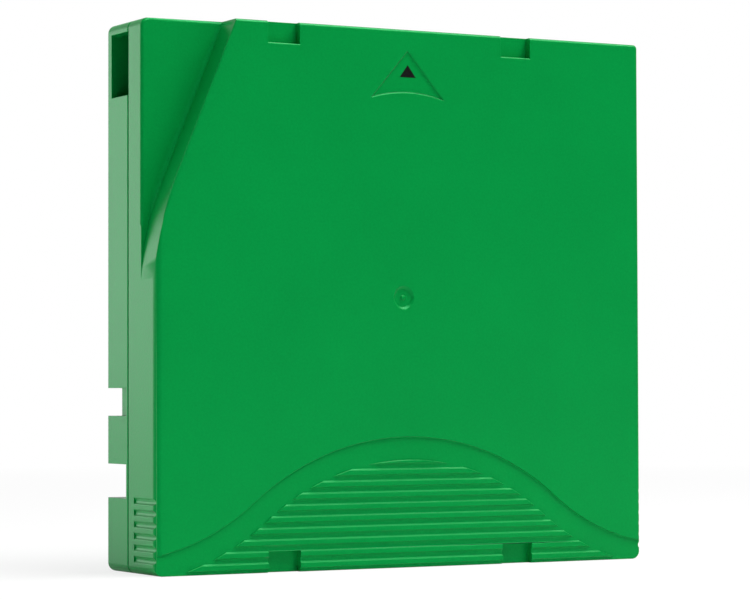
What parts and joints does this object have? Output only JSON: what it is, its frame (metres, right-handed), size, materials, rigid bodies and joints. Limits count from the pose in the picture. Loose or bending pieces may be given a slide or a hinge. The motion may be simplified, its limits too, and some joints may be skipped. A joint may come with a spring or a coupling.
{
  "type": "data tape cartridge",
  "caption": "Flat moulded cartridge of half-inch data tape: lowered insertion guide, ribbed grip field, sliding tape door, braked reel with drive gear, write-protect slider.",
  "frame": {"origin": "middle of the rear edge face, on the surface that the cartridge stands on", "axes": "+X to the right of the arrow face, +Y from the arrow face to the drive face, +Z the way the cartridge goes into a drive"},
  "size_m": [0.1054, 0.0216, 0.102],
  "materials": {
    "case_plastic": "satin moulded green",
    "reel_plastic": "satin moulded light grey",
    "flange_plastic": "glossy light grey",
    "plate_steel": "fine brushed",
    "tape": "smooth dark",
    "pin_steel": "turned",
    "clip_plastic": "satin",
    "spring_steel": "drawn wire",
    "brake_plastic": "satin moulded white",
    "tab_plastic": "satin moulded red",
    "board_laminate": "laminate",
    "chip_resin": "moulded resin",
    "screw_steel": "dull plated"
  },
  "bodies": {
    "case": {"lower_shell": "case_plastic", "upper_shell": "case_plastic", "leader_pin": "pin_steel", "leader_pin_clip": "clip_plastic", "pin_spring_lower": "spring_steel", "pin_spring_upper": "spring_steel", "tape_free_run": "tape", "memory_board": "board_laminate", "memory_chip": "chip_resin", "case_screws": "screw_steel", "door_spring": "spring_steel", "brake_spring": "spring_steel"},
    "door": {"tape_door": "case_plastic"},
    "reel": {"reel_hub": "reel_plastic", "reel_upper_flange": "flange_plastic", "reel_drive_plate": "plate_steel", "tape_pack": "tape"},
    "brake": {"brake_button": "brake_plastic"},
    "pad": {"release_pad": "brake_plastic"},
    "protect_slider": {"write_protect_tab": "tab_plastic"}
  },
  "joints": [
    {"name": "door_slide", "type": "slide", "parent": "case", "child": "door", "axis": [0, 0, -1], "range_m": [0, 0.0155], "stiffness_N_per_m": 40, "springref_m": -0.01, "deforming": ["door_spring"]},
    {"name": "write_protect_slide", "type": "slide", "parent": "case", "child": "protect_slider", "axis": [1, 0, 0], "range_m": [0, 0.0037]},
    {"name": "reel_spin", "type": "hinge", "parent": "case", "child": "reel", "pos_m": [-0.00106, 0, 0.051], "axis": [0, 1, 0], "continuous": true},
    {"name": "brake_lift", "type": "slide", "parent": "case", "child": "brake", "axis": [0, -1, 0], "range_m": [0, 0.0016], "stiffness_N_per_m": 300, "springref_m": -0.004, "deforming": ["brake_spring"]},
    {"name": "release_pad_lift", "type": "slide", "parent": "reel", "child": "pad", "axis": [0, -1, 0], "range_m": [0, 0.0016]}
  ],
  "couplings": [
    {"joint": "release_pad_lift", "follows": "brake_lift", "ratio": 1}
  ]
}
